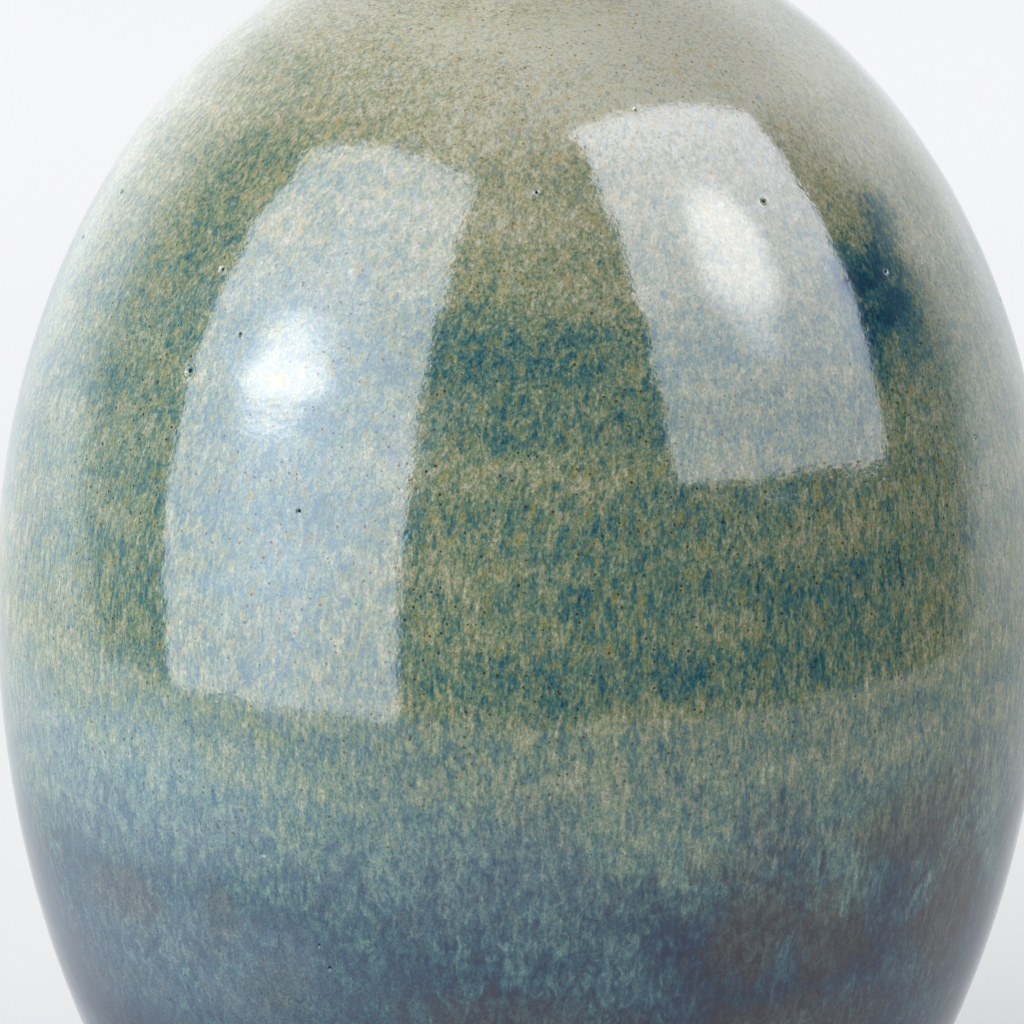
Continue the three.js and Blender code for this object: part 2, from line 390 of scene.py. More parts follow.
def pierce(obj, low, high):
    """Cuts the pinholes between two heights into the outside of a glaze coat, and weights the painted shade
    inside their holes.
    """
    run = OUTSIDE[: len(OUTSIDE) - len(ROLL)]
    holes = []
    for azimuth, height, radius in pinholes():
        z, angle = height * MM, math.radians(azimuth)
        if low + 3 * MM < z < high:
            r, nr, nz = surface(z, angle, run)
            out = Vector((math.sin(angle), -math.cos(angle), 0))
            centre = out * r + Vector((0, 0, z))
            holes.append((centre, (out * nr + Vector((0, 0, nz))).normalized(), radius * MM))
    mesh = bmesh.new()
    mesh.from_mesh(obj.data)
    mesh.verts.ensure_lookup_table()
    middles = np.array([f.calc_center_median() for f in mesh.faces])
    normals = np.array([f.normal for f in mesh.faces])
    chosen = set()
    for centre, out, radius in holes:
        near = np.linalg.norm(middles - np.array(centre), axis=1) < PINHOLE_REACH
        chosen.update(np.nonzero(near & (normals @ np.array(out) > 0.5))[0].tolist())
    mesh.faces.ensure_lookup_table()
    edges = {e for i in chosen for e in mesh.faces[i].edges}
    before = len(mesh.verts)
    bmesh.ops.subdivide_edges(mesh, edges=list(edges), cuts=PINHOLE_CUTS, use_grid_fill=True)
    mesh.verts.ensure_lookup_table()
    for vert in mesh.verts[before:]:
        p = vert.co
        angle = math.atan2(p.x, -p.y)
        r = surface(p.z, angle, run)[0]
        vert.co = Vector((math.sin(angle) * r, -math.cos(angle) * r, p.z))
    # A weight for painted shade: it is 1 down in each pinhole's hole, where the glaze colour is painted
    # near-black.
    pinhole_shade = mesh.verts.layers.float.new("pinhole_shade")
    for centre, out, radius in holes:
        dish_radius, hole_radius = DISH_WIDTH * radius, HOLE_WIDTH * radius
        rim_radius = RIM_WIDTH * dish_radius
        mouth = centre + HOLE_PLACE * radius
        for vert in mesh.verts:
            gap = (vert.co - centre).length
            if gap < rim_radius and (vert.co - centre).dot(out) > -0.1 * MM:
                dish = DISH_DEPTH * max(1 - (gap / dish_radius) ** 2, 0)
                hole = max(1 - ((vert.co - mouth).length / hole_radius) ** 2, 0)
                rim = RIM_HEIGHT * math.sin(min(gap / rim_radius, 1) * math.pi) ** 2
                vert.co = vert.co - out * radius * (dish + HOLE_DEPTH * hole - rim + 0.02)
                vert[pinhole_shade] = min(hole * 2.5, 1)
    mesh.to_mesh(obj.data)
    mesh.free()
    obj.data.update()


# ---------------------------------------------------------------------------------------------
# Materials
# ---------------------------------------------------------------------------------------------
def srgb(red, green, blue):
    """A colour named by its 8-bit sRGB values, as linear light."""
    part = [c / 255 for c in (red, green, blue)]
    return tuple(c / 12.92 if c < 0.04045 else ((c + 0.055) / 1.055) ** 2.4 for c in part) + (1,)


class Shader:
    """Short calls that add nodes to one tree. A value is a number, a tuple or a socket."""

    def __init__(self, tree):
        self.tree = tree

    def node(self, kind, values=None, **settings):
        node = self.tree.nodes.new(kind)
        for key, value in settings.items():
            setattr(node, key, value)
        for key, value in (values or {}).items():
            if isinstance(value, bpy.types.NodeSocket):
                self.tree.links.new(value, node.inputs[key])
            else:
                node.inputs[key].default_value = value
        return node

    def math(self, operation, *values):
        node = self.node("ShaderNodeMath", dict(enumerate(values)), operation=operation)
        return node.outputs[0]

    def add(self, *values):
        total = values[0]
        for value in values[1:]:
            total = self.math("ADD", total, value)
        return total

    def times(self, *values):
        total = values[0]
        for value in values[1:]:
            total = self.math("MULTIPLY", total, value)
        return total

    def vector(self, operation, a, b):
        return self.node("ShaderNodeVectorMath", {0: a, 1: b}, operation=operation).outputs[0]

    def join(self, x, y, z):
        return self.node("ShaderNodeCombineXYZ", {0: x, 1: y, 2: z}).outputs[0]

    def split(self, vector):
        return self.node("ShaderNodeSeparateXYZ", {0: vector}).outputs

    def between(self, value, low, high, to_low=0.0, to_high=1.0):
        """0 below low and 1 above high, and smooth between them; low may be the larger."""
        values = {0: value, 1: low, 2: high, 3: to_low, 4: to_high}
        return self.node("ShaderNodeMapRange", values, interpolation_type="SMOOTHSTEP").outputs[0]

    def noise(self, vector, scale, detail=2.0, roughness=0.5, distortion=0.0):
        """Noise round 0, about -1 to 1."""
        values = {"Vector": vector, "Scale": scale, "Detail": detail, "Roughness": roughness}
        node = self.node("ShaderNodeTexNoise", values | {"Distortion": distortion})
        return self.times(self.math("SUBTRACT", node.outputs[0], 0.5), 4.0)

    def spots(self, vector, scale, radius, share, soft=0.35):
        """1 inside small round spots, which a share of the cells have."""
        values = {"Vector": vector, "Scale": scale}
        cell = self.node("ShaderNodeTexVoronoi", values)
        red, green, _ = self.split(cell.outputs["Color"])
        size = self.times(self.add(self.times(green, 0.8), 0.6), radius * scale)
        inner = self.times(size, 1 - soft)
        spot = self.between(cell.outputs["Distance"], size, inner)
        return self.times(spot, self.math("LESS_THAN", red, share))

    def blob(self, place, ragged, soft, azimuth, height, half_width, half_height):
        """1 in the middle of an oval on the outside and 0 round it; ragged roughens its edge."""
        away = self.vector("SUBTRACT", place, on_surface(azimuth, height))
        scale = (1000 / half_width, 1000 / half_width, 1000 / half_height)
        scaled = self.vector("MULTIPLY", away, scale)
        gap = self.node("ShaderNodeVectorMath", {0: scaled}, operation="LENGTH").outputs[1]
        return self.between(self.add(gap, ragged), 0.7 + soft / 2, 0.7 - soft / 2)

    def mix(self, factor, a, b, blend="MIX"):
        values = {0: factor, 6: a, 7: b}
        node = self.node("ShaderNodeMix", values, data_type="RGBA", blend_type=blend)
        return node.outputs[2]

    def ramp(self, value, stops):
        node = self.node("ShaderNodeValToRGB", {0: value})
        bar = node.color_ramp.elements
        while len(bar) < len(stops):
            bar.new(0.5)
        for element, (at, colour) in zip(bar, stops):
            element.position = at
            element.color = colour
        return node.outputs[0]

    def bump(self, height, distance, normal=None):
        values = {"Height": height, "Distance": distance, "Strength": 1.0}
        if normal is not None:
            values["Normal"] = normal
        return self.node("ShaderNodeBump", values).outputs[0]


def new_material(name):
    material = bpy.data.materials.new(name)
    material.use_nodes = True
    return material, Shader(material.node_tree), material.node_tree.nodes["Principled BSDF"]


def lay(shader, bsdf, colour, roughness, normal, ior):
    shader.tree.links.new(colour, bsdf.inputs["Base Color"])
    shader.tree.links.new(roughness, bsdf.inputs["Roughness"])
    shader.tree.links.new(normal, bsdf.inputs["Normal"])
    bsdf.inputs["IOR"].default_value = ior


def on_surface(azimuth, height):
    """A point of the outside, from degrees round from the camera's side and millimetres up."""
    angle, z = math.radians(azimuth), height * MM
    r = float(np.interp(z, OUTSIDE[:, 1], OUTSIDE[:, 0]))
    return (r * math.sin(angle), -r * math.cos(angle), z)


# Where the upper glaze pooled or thinned on the photographed side: azimuth in degrees, height in
# millimetres, half width, half height in millimetres, and how much lighter (+) or bluer (-).
GLAZE_PATCHES = [
    (-4, 115, 26, 9, -0.08), (14, 114, 22, 5, -0.03), (0, 99.5, 26, 5, -0.05),
    (-50, 96, 12, 14, 0.02), (0, 83, 28, 5, -0.05), (26, 91, 24, 10, -0.05),
    (57, 124.5, 4, 3.5, -0.30), (54.5, 121.5, 4, 3.5, -0.28), (46.5, 120.5, 6, 3.5, -0.42),
    (51, 118, 7, 4.5, -0.34), (52, 114, 5, 5, -0.21), (46, 113, 3.5, 6, -0.26),
    (-46, 132, 24, 18, -0.20), (0, 129, 24, 9, -0.07), (0, 142, 30, 8, 0.12),
    (4, 104, 20, 5, 0.04), (56, 98, 12, 22, 0.07), (34, 86, 12, 8, -0.05), (-33, 100, 14, 30, -0.06),
    (36, 139, 20, 9, 0.10),
]
# Where the lower glaze shows through darker: the same, and how much.
DARK_PATCHES = [
    (-48, 52.5, 8, 5, 0.8), (-34, 54, 3, 5, 0.65), (-38, 49, 7, 2.5, 0.6), (-28, 46, 6, 5, 0.5),
    (0, 45, 22, 6, 0.5),
    (27, 54, 6, 7, 0.8), (36, 53.5, 6.5, 7.5, 0.8), (56, 51, 9, 13, 0.9), (47.5, 63.5, 15, 5, 0.7),
    (22, 62, 7, 3, 0.35), (36, 42, 16, 5, 0.7),
]
# Milky pale-blue patches, most of them on the left side, that make the glaze paler and bluer: the same, and
# how much.
PALE_PATCHES = [
    (58, 108, 10, 36, 0.18), (-54, 100, 16, 34, 0.22), (-27, 108, 13, 34, 0.55),
    (-46, 68, 34, 15, 0.42), (-42, 48, 30, 12, 0.32), (-12, 62, 22, 9, 0.15),
]


# The upper glaze from cobalt pools to cream, and the lower one from navy to celadon.
UPPER_COLOURS = [
    (0.0, srgb(14, 62, 84)), (0.2, srgb(36, 87, 99)), (0.38, srgb(76, 111, 103)),
    (0.5, srgb(112, 130, 103)), (0.66, srgb(148, 150, 120)), (0.82, srgb(173, 172, 148)),
    (1.0, srgb(190, 190, 172)),
]
LOWER_COLOURS = [
    (0.0, srgb(16, 30, 56)), (0.25, srgb(26, 53, 81)), (0.45, srgb(46, 84, 99)),
    (0.65, srgb(85, 120, 122)), (0.85, srgb(126, 150, 136)), (1.0, srgb(152, 166, 144)),
]
CREAM_FROM, CREAM_TO = 110 * MM, 134 * MM  # where the shoulder turns from olive to cream
BLUE_FROM, BLUE_TO = 84 * MM, 52 * MM  # where the lower glaze takes over, downwards
GLAZE_IOR = 1.6


def glaze_flow(s, x, y, z):
    """Coordinates that follow the glaze as it ran: plain ones, streaked ones and long streaks.

    It ran down a little askew, so they are twisted and stretched. Up on the shoulder it hardly
    ran, and there they are not stretched.
    """
    radius = s.math("SQRT", s.add(s.times(x, x), s.times(y, y)))
    spread = s.math("DIVIDE", s.times(s.math("SUBTRACT", BELLY_RADIUS, radius), 0.5), radius)
    spread = s.add(1.0, s.times(spread, s.between(radius, 15 * MM, 35 * MM)))
    above = s.math("MAXIMUM", s.math("SUBTRACT", z, 75 * MM), 0.0)
    bent = s.math("MINIMUM", above, 30 * MM)
    twist = s.add(s.times(bent, bent, -33.0), s.times(s.math("SUBTRACT", above, bent), -1.6))
    turned_place = s.node(
        "ShaderNodeVectorRotate", {"Vector": s.join(x, y, z), "Angle": twist}, rotation_type="Z_AXIS"
    ).outputs[0]
    tx, ty, _ = s.split(turned_place)
    tx, ty = s.times(tx, spread), s.times(ty, spread)
    side = s.math("SIGN", s.math("SUBTRACT", z, BELLY_HEIGHT))
    flow = s.add(z, s.times(side, s.math("SUBTRACT", BELLY_RADIUS, radius), 0.6))
    high = s.math("MAXIMUM", s.math("SUBTRACT", z, 96 * MM), 0.0)
    eased = s.math("MINIMUM", high, 30 * MM)
    unstretched = s.add(s.times(eased, eased, 1 / 0.06), s.math("SUBTRACT", high, eased))
    ground = s.join(tx, ty, flow)
    streaked = s.join(tx, ty, s.add(s.times(flow, 0.5), s.times(unstretched, 0.32)))
    long_streaked = s.join(tx, ty, s.add(s.times(flow, 0.3), s.times(unstretched, 0.42)))
    return ground, streaked, long_streaked


def glaze_grain(s, ground, streaked, long_streaked):
    """The noises that both glazes share, from the finest to the widest, and a ragged edge."""
    wisp = s.noise(streaked, 900.0, 3.0, 0.65, 0.9)
    cloud = s.noise(ground, 70.0, 3.0, 0.6, 0.8)
    return {
        "fibre": s.noise(streaked, 3000.0, 1.0, 0.6, 0.3),
        "strand": s.noise(long_streaked, 1500.0, 1.0, 0.6, 0.3),
        "wisp": wisp,
        "clot": s.noise(streaked, 620.0, 2.0, 0.6, 0.3),
        "patch": s.noise(ground, 85.0, 2.0, 0.5),
        "cloud": cloud,
        "ragged": s.add(s.times(cloud, 0.40), s.times(wisp, 0.30)),
    }


def upper_tone(s, place, ground, grain):
    """How far the upper glaze has turned from cobalt (0) through sage to cream (1)."""
    x, y, z = s.split(place)
    wide = s.vector("MULTIPLY", ground, (0.35, 0.35, 1.6))
    band = s.noise(wide, 105.0, 1.5, 0.5)
    azimuth = s.math("ARCTAN2", x, s.times(y, -1.0))
    winding = s.add(s.times(z, TURN / RING_PITCH), s.times(azimuth, -1.0))
    groove = s.math("SINE", s.add(winding, TURN * RING_START))
    tone = s.add(
        s.times(grain["fibre"], 0.17), s.times(grain["strand"], 0.15), s.times(grain["clot"], 0.10),
        s.times(grain["patch"], 0.045), s.times(band, 0.035), s.times(groove, 0.03),
        s.between(z, 110 * MM, 138 * MM, 0.0, 0.31), 0.495,
    )
    torn = s.add(s.times(grain["patch"], 0.14), s.times(grain["clot"], 0.10))
    for *where, amount in GLAZE_PATCHES:
        blob = s.blob(place, torn, 0.9 if amount < -0.2 else 1.2, *where)
        tone = s.add(tone, s.times(blob, amount))
    return tone


def lower_glaze(s, place, z, grain):
    """The blue-violet base glaze: wispy, with brown breaks and rust specks."""
    wisp, cloud = grain["wisp"], grain["cloud"]
    tone = s.add(
        s.times(grain["fibre"], 0.08), s.times(grain["strand"], 0.08), s.times(wisp, 0.27),
        s.times(cloud, 0.23), s.between(z, 42 * MM, 72 * MM, 0.25, 0.60),
    )
    colour = s.ramp(tone, LOWER_COLOURS)
    rust = s.times(s.spots(place, 300.0, 0.8 * MM, 0.35, 0.9), s.between(wisp, 0.5, -0.5, 0.1, 0.6))
    colour = s.mix(rust, colour, srgb(82, 64, 52))
    dark = 0.0
    for *where, amount in DARK_PATCHES:
        blob = s.blob(place, grain["ragged"], 0.6, *where)
        dark = s.math("MAXIMUM", s.times(blob, amount), dark)
    umber = s.mix(s.between(wisp, -0.7, 0.9), srgb(52, 46, 46), srgb(84, 82, 78))
    return s.mix(s.times(dark, 0.85), colour, umber)


def pale_haze(s, place, colour, grain):
    """Lays the milky blue patches over a colour."""
    share = 0.0
    for *where, amount in PALE_PATCHES:
        blob = s.blob(place, grain["ragged"], 1.2, *where)
        share = s.math("MAXIMUM", s.times(blob, amount), share)
    haze = s.mix(s.between(grain["wisp"], -0.6, 0.8), srgb(106, 142, 162), srgb(162, 184, 180))
    return s.mix(share, colour, haze)


def crystals(s, colour, z, cream, tone, ground, streaked):
    """Blue, gold and ochre crystals, and the fine light and shade between them."""
    tint = s.noise(s.vector("MULTIPLY", ground, (1, 1, 0.6)), 950.0, 1.5, 0.6, 0.3)
    clear = s.between(tone, 0.05, 0.35)
    blue = s.times(s.between(tint, 0.15, 1.2), s.add(s.times(cream, 0.22), 0.27))
    colour = s.mix(blue, colour, s.mix(cream, srgb(58, 104, 118), srgb(106, 138, 154)))
    gold = s.times(s.between(tint, -0.05, -1.1), s.between(z, 68 * MM, 88 * MM, 0.08, 0.62))
    gold = s.times(gold, clear)
    colour = s.mix(gold, colour, s.mix(cream, srgb(136, 130, 68), srgb(182, 164, 112)))
    ochre = s.spots(streaked, 1000.0, 0.20 * MM, 0.5, 0.85)
    ochre = s.times(ochre, s.between(z, 64 * MM, 84 * MM, 0.06, 0.42), clear)
    colour = s.mix(ochre, colour, srgb(150, 128, 64))
    mottle = s.noise(s.vector("MULTIPLY", ground, (1, 1, 0.65)), 5200.0, 1.0, 0.6)
    shade = s.add(1.0, s.times(mottle, s.between(z, 112 * MM, 138 * MM, 0.35, 0.12)))
    return s.mix(1.0, colour, s.join(shade, shade, shade), "MULTIPLY")


def iron_specks(s, colour, place, z, cream, clot):
    """Small dark pits, iron specks, and painted shade in the holes of the pinholes."""
    pits = s.spots(place, 2300.0, 0.11 * MM, 0.6, 0.6)
    pits = s.times(pits, s.between(clot, -1.0, 1.0, 0.3, 1.0))
    colour = s.mix(s.times(pits, 0.6), colour, s.mix(cream, srgb(60, 58, 36), srgb(140, 118, 72)))
    iron = s.spots(place, 1150.0, 0.155 * MM, 0.6, 0.4)
    iron = s.times(iron, s.between(z, 58 * MM, 80 * MM, 0.55, 0.9), s.between(cream, 0.0, 1.0, 1.0, 0.75))
    colour = s.mix(iron, colour, s.mix(cream, srgb(58, 42, 24), srgb(122, 88, 46)))
    # Painted shade: the inside of each pinhole's hole is painted near-black, as a recess in shade.
    pinhole_shade = s.node("ShaderNodeAttribute", attribute_name="pinhole_shade").outputs["Fac"]
    return s.mix(s.times(pinhole_shade, 0.85), colour, srgb(24, 22, 18))


def outer_glaze():
    """Streaked olive and teal over glaze, running into the blue-violet base glaze below."""
    material, s, bsdf = new_material("outer_glaze")
    place = s.node("ShaderNodeTexCoord").outputs["Object"]
    x, y, z = s.split(place)
    ground, streaked, long_streaked = glaze_flow(s, x, y, z)
    grain = glaze_grain(s, ground, streaked, long_streaked)
    cream = s.between(z, CREAM_FROM, CREAM_TO)

    tone = upper_tone(s, place, ground, grain)
    front = s.add(
        z, s.times(grain["cloud"], 4 * MM), s.times(grain["clot"], 2.5 * MM),
        s.times(grain["strand"], 3 * MM),
    )
    lower_share = s.between(front, BLUE_FROM, BLUE_TO)
    colour = s.mix(lower_share, s.ramp(tone, UPPER_COLOURS), lower_glaze(s, place, z, grain))
    colour = pale_haze(s, place, colour, grain)
    colour = crystals(s, colour, z, cream, tone, ground, streaked)
    colour = iron_specks(s, colour, place, z, cream, grain["clot"])

    peel = s.bump(s.noise(ground, 900.0, 2.0), 3e-6)
    fine = s.bump(grain["fibre"], 1.0e-6, peel)
    swell = s.bump(s.noise(ground, 150.0, 1.0), 12e-6, fine)
    gloss = s.between(s.noise(ground, 500.0), -1.0, 1.0, 0.055, 0.095)
    lay(s, bsdf, colour, gloss, swell, GLAZE_IOR)
    return material


def liner_glaze():
    """A grey-green gloss, run thin over the finger ridges."""
    material, s, bsdf = new_material("liner_glaze")
    place = s.node("ShaderNodeTexCoord").outputs["Object"]
    streaked = s.vector("MULTIPLY", place, (1, 1, 0.3))
    tone = s.add(0.5, s.times(s.noise(streaked, 700.0), 0.16), s.times(s.noise(place, 90.0), 0.12))
    colour = s.ramp(tone, [
        (0.0, srgb(96, 110, 100)), (0.5, srgb(140, 148, 128)), (1.0, srgb(178, 178, 152)),
    ])
    iron = s.spots(place, 900.0, 0.14 * MM, 0.3, 0.5)
    colour = s.mix(s.times(iron, 0.7), colour, srgb(60, 50, 40))
    normal = s.bump(s.noise(place, 600.0), 4e-6)
    lay(s, bsdf, colour, s.between(s.noise(place, 300.0), -1.0, 1.0, 0.10, 0.16), normal, 1.55)
    return material


def fired_clay(name, pale, deep, speck):
    """Buff stoneware: gritty, faintly banded by the turning tool, with iron specks."""
    material, s, bsdf = new_material(name)
    place = s.node("ShaderNodeTexCoord").outputs["Object"]
    ringed = s.vector("MULTIPLY", place, (0.15, 0.15, 2.2))
    grit = s.noise(place, 2600.0, 3.0, 0.7)
    turning = s.noise(ringed, 900.0, 2.0)
    tone = s.add(0.5, s.times(grit, 0.12), s.times(s.noise(place, 160.0), 0.14), s.times(turning, 0.06))
    colour = s.mix(s.between(tone, 0.15, 0.85), deep, pale)
    iron = s.spots(place, 1000.0, 0.13 * MM, 0.4, 0.4)
    colour = s.mix(s.times(iron, 0.85), colour, speck)
    tool = s.bump(turning, 25e-6)
    normal = s.bump(grit, 18e-6, tool)
    lay(s, bsdf, colour, s.between(grit, -1.0, 1.0, 0.68, 0.86), normal, 1.5)
    return material


# ---------------------------------------------------------------------------------------------
# Pieces
# ---------------------------------------------------------------------------------------------
SHARP = math.radians(38)


def coat_over(material):
    """The streaked over glaze: its skin, and an under face on the base coat, down to a feather."""
    outside = skin(OVER_OUTSIDE, 0.0, outside_relief, 1.0)
    under = skin(OVER_OUTSIDE, over_coat_at, outside_relief, 0)
    under = flipped(under, end_gap=True)
    obj = turned("over_glaze_coat", [outside, under])
    pierce(obj, OVER_COAT_EDGE, 145 * MM)
    return finish_piece(obj, material, "over_glaze", SHARP)


def flipped(part, end_gap=False):
    """The same skin run the other way, which makes it face the other way."""
    keep = slice(1, None) if end_gap else slice(None)
    return part | {"run": part["run"][keep][::-1], "home": part["home"][keep][::-1]}


def coat_base(material):
    """The blue-violet base glaze, bare below the over glaze's edge."""
    bare_top = OVER_COAT_EDGE
    shown = OUTSIDE[OUTSIDE[:, 1] <= bare_top]
    hidden = OVER_OUTSIDE
    outside = skin(shown, 0.0, outside_relief, 1.0)
    covered = skin(hidden, lambda z: over_coat_at(z) + NEST, outside_relief, 0)
    under = skin(OUTSIDE, lambda z: over_coat_at(z) + BASE_COAT, outside_relief, 0)
    obj = turned("base_glaze_coat", [outside, covered, flipped(under)])
    pierce(obj, BASE_COAT_EDGE, OVER_COAT_EDGE)
    return finish_piece(obj, material, "base_glaze", SHARP)


def coat_liner(material):
    """The liner glaze: seen down the mouth, from the floor to the lip."""
    glaze = sink(INSIDE, LINER_COAT)
    inside = skin(glaze, 0.0, inside_relief, 1.0)
    behind = skin(INSIDE, -NEST, inside_relief, 0)
    obj = turned("liner_glaze_coat", [behind, flipped(inside)])
    return finish_piece(obj, material, "liner_glaze", SHARP)


def straight(points, spacing=0.6 * MM, room=0.4, relief=no_relief):
    """A skin along straight lines between points, for edges and joint faces."""
    rows = []
    for a, b in zip(points, points[1:]):
        steps = max(int(math.hypot(b[0] - a[0], b[1] - a[1]) / spacing), 1)
        rows += [[a[0] + (b[0] - a[0]) * k / steps, a[1] + (b[1] - a[1]) * k / steps] for k in range(steps)]
    rows.append([points[-1][0], points[-1][1]])
    run = np.column_stack([np.array(rows, float), np.ones(len(rows)), np.zeros(len(rows))])
    return {"home": run[:, 1], "run": run, "relief": relief, "room": room}


def point_in(t, depth, lower=0.0):
    """A point inside the wall of the body, as radius and height."""
    at = sink(body([t]), depth)[0]
    return (float(at[0]), float(at[1]) - lower)


def belly_face(t, outer=COATS):
    """The V-keyed joint face at the belly, from the outside of the wall to the inside."""
    middle = COATS + BODY_WALL / 2
    return [
        point_in(t, outer),
        point_in(t, middle - BELLY_KEY_WIDTH / 2),
        point_in(t, middle, BELLY_KEY_DEPTH),
        point_in(t, middle + BELLY_KEY_WIDTH / 2),
        point_in(t, INNER_DEPTH),
    ]


def neck_face(outer_t, inner_t, step, outer=COATS):
    """The stepped joint face under the neck, from the outside of the wall to the inside."""
    return [
        point_in(outer_t, outer),
        point_in(outer_t, step),
        point_in(inner_t, step),
        point_in(inner_t, INNER_DEPTH),
    ]


def foot_face(z, slack, top):
    """The square-keyed joint face over the foot ring, from the outside to the inside."""
    return [
        (FOOT_TOP_RADIUS, z),
        (FOOT_KEY_OUTER + slack, z),
        (FOOT_KEY_OUTER + slack, top),
        (FOOT_KEY_INNER - slack, top),
        (FOOT_KEY_INNER - slack, z),
        (FOOT_RECESS_TOP_RADIUS, z),
    ]


NECK_STEP = COATS + BODY_WALL / 2
FOOT_GROOVE = foot_face(FLOOR_UNDER, SLIP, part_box("foot_slip_seam")[1].z)
FOOT_TONGUE = foot_face(FOOT_TOP, 0.0, FOOT_KEY_TOP)
UNDER_RELIEF = 0.13 * MM  # a seam's outer edge stays under the wall's relief


def clay_outside(run):
    return skin(run, lambda z: over_coat_at(z) + BASE_COAT + NEST, outside_relief, 0)


def foot_clay(material):
    """The turned foot ring, with its sole, its soft edges and its recess."""
    lift, inset = 1.1 * MM, 0.8 * MM
    bevel = [
        (FOOT_SOLE_RADIUS - 0.2 * MM, 0.0),
        (FOOT_SOLE_RADIUS + inset * 0.45, 0.22 * MM),
        (FOOT_SOLE_RADIUS + inset * 0.85, 0.62 * MM),
        (FOOT_SOLE_RADIUS + inset * 1.05, lift),
    ]
    recess = [
        (FOOT_RECESS_RADIUS, lift),
        (FOOT_RECESS_RADIUS + inset * 0.35, 0.4 * MM),
        (FOOT_RECESS_RADIUS + inset, 0.0),
    ]
    side = straight([recess[-1], *bevel, FOOT_TONGUE[0]], 0.4 * MM, 1.0)
    rest = straight([*FOOT_TONGUE, *recess], 0.8 * MM, 0.5)
    rest = rest | {"run": rest["run"][1:-1], "home": rest["home"][1:-1]}
    obj = turned("foot_clay", [side, rest])
    return finish_piece(obj, material, "foot_ring", math.radians(50))


def lower_clay(material):
    """The lower thrown section: the floor, the bare strip over the foot, and the wall."""
    under = straight([(0.0, FLOOR_UNDER), *FOOT_GROOVE[::-1]], 0.8 * MM, 0.5)
    wall = clay_outside(body_run(BARE_T, 0))
    top = straight(belly_face(0.0))
    inside = flipped(skin(LOWER_INSIDE, 0.0, inside_relief, 0))
    strip = straight([FOOT_GROOVE[0], tuple(wall["run"][0, :2])], 0.3 * MM, 1.0)
    obj = turned("lower_clay", [under, shorter(strip, 1, 1), wall, top, shorter(inside, 1)])
    return finish_piece(obj, material, "lower_body_section", SHARP)


def shorter(part, front=0, back=0):
    """A skin without its first or last rows, where a neighbour already has them."""
    keep = slice(front, len(part["run"]) - back)
    return part | {"run": part["run"][keep], "home": part["home"][keep]}


def upper_clay(material):
    """The upper thrown section: the dome from the belly to the shoulder."""
    wall = clay_outside(body_run(BELLY_TOP, SHOULDER))
    top = straight(neck_face(SHOULDER, KEY_END, NECK_STEP))
    inside = flipped(skin(inside_body(BELLY_TOP, KEY_END), 0.0, inside_relief, 0))
    under = straight(belly_face(BELLY_TOP)[::-1])
    obj = turned("upper_clay", [wall, top, shorter(inside, 1, 1), under])
    return finish_piece(obj, material, "upper_body_section", SHARP)


def neck_clay(material):
    """The neck, thrown on last: its spigot, its waist and its rolled lip."""
    outside = np.vstack([NECK, ROLL[1:]])
    wall = clay_outside(outside)
    inner = np.vstack([inside_body(KEY_END_TOP, NECK_FOOT), neck_inside()[1:], ROLL_INSIDE[1:-1]])
    inside = flipped(skin(inner, 0.0, inside_relief, 0))
    under = straight(neck_face(NECK_FOOT, KEY_END_TOP, NECK_STEP + SLIP)[::-1])
    obj = turned("neck_clay", [wall, inside, shorter(under, 1, 1)])
    return finish_piece(obj, material, "neck_section", SHARP)


def slip_seams(material):
    """The slip that joins the sections, squeezed out to the wall's face at each joint."""
    outer = COATS + UNDER_RELIEF
    belly = belly_face(0.0, outer)[::-1] + belly_face(BELLY_TOP, outer)
    neck = neck_face(SHOULDER, KEY_END, NECK_STEP, outer)[::-1]
    neck += neck_face(NECK_FOOT, KEY_END_TOP, NECK_STEP + SLIP, outer)
    foot = FOOT_TONGUE[::-1] + FOOT_GROOVE
    for name, outline, node in (
        ("belly_slip", belly, "belly_slip_seam"),
        ("neck_slip", neck, "neck_slip_seam"),
        ("foot_slip", foot, "foot_slip_seam"),
    ):
        part = shorter(straight([*outline, outline[0]], 0.5 * MM), 0, 1)
        finish_piece(turned(name, [part]), material, node, SHARP)


# ---------------------------------------------------------------------------------------------
# Studio: pale floor, round table top, two softboxes, a pale backdrop behind and a dark room in
# front. The softboxes seen in the gloss and the light that falls from them are set separately.
# ---------------------------------------------------------------------------------------------
FLOOR_RADIUS = 3.0
TABLE_RADIUS = 0.361
TABLE_MIDDLE = (0.016, 0.014)
BOX_DISTANCE = 0.5
LEFT_TOP, RIGHT_TOP = 0.62, 0.55  # the softboxes' upper edges, over their middles
BOX_DISSOLVE = 0.06  # how far the cloth fades out under its upper edge


def disc(name, radius, middle, z, material, sides=192):
    mesh = bpy.data.meshes.new(name)
    build = bmesh.new()
    bmesh.ops.create_circle(build, cap_ends=True, segments=sides, radius=radius)
    build.to_mesh(mesh)
    build.free()
    mesh.materials.append(material)
    obj = bpy.data.objects.new(name, mesh)
    obj.location = (middle[0], middle[1], z)
    bpy.context.scene.collection.objects.link(obj)
    return obj


def pale_floor(name):
    """A white sweep: partly lit by the lamps and partly glowing. The glow is painted light: brighter
    towards the back, with a painted pool of light on the left, the side of the left softbox.
    """
    material, s, bsdf = new_material(name)
    bsdf.inputs["Base Color"].default_value = (0.82, 0.81, 0.80, 1)
    bsdf.inputs["Roughness"].default_value = 0.9
    bsdf.inputs["Specular IOR Level"].default_value = 0.0
    bsdf.inputs["Emission Color"].default_value = (1.0, 0.99, 0.98, 1)
    x, y, _ = s.split(s.node("ShaderNodeTexCoord").outputs["Object"])
    # Painted light: the glow grows towards the back, and a painted pool of light brightens the left side.
    glow = s.add(s.between(y, 0.0, 0.7, 0.20, 0.45), s.times(s.between(x, -0.08, -0.28), 0.45))
    s.tree.links.new(glow, bsdf.inputs["Emission Strength"])
    return material


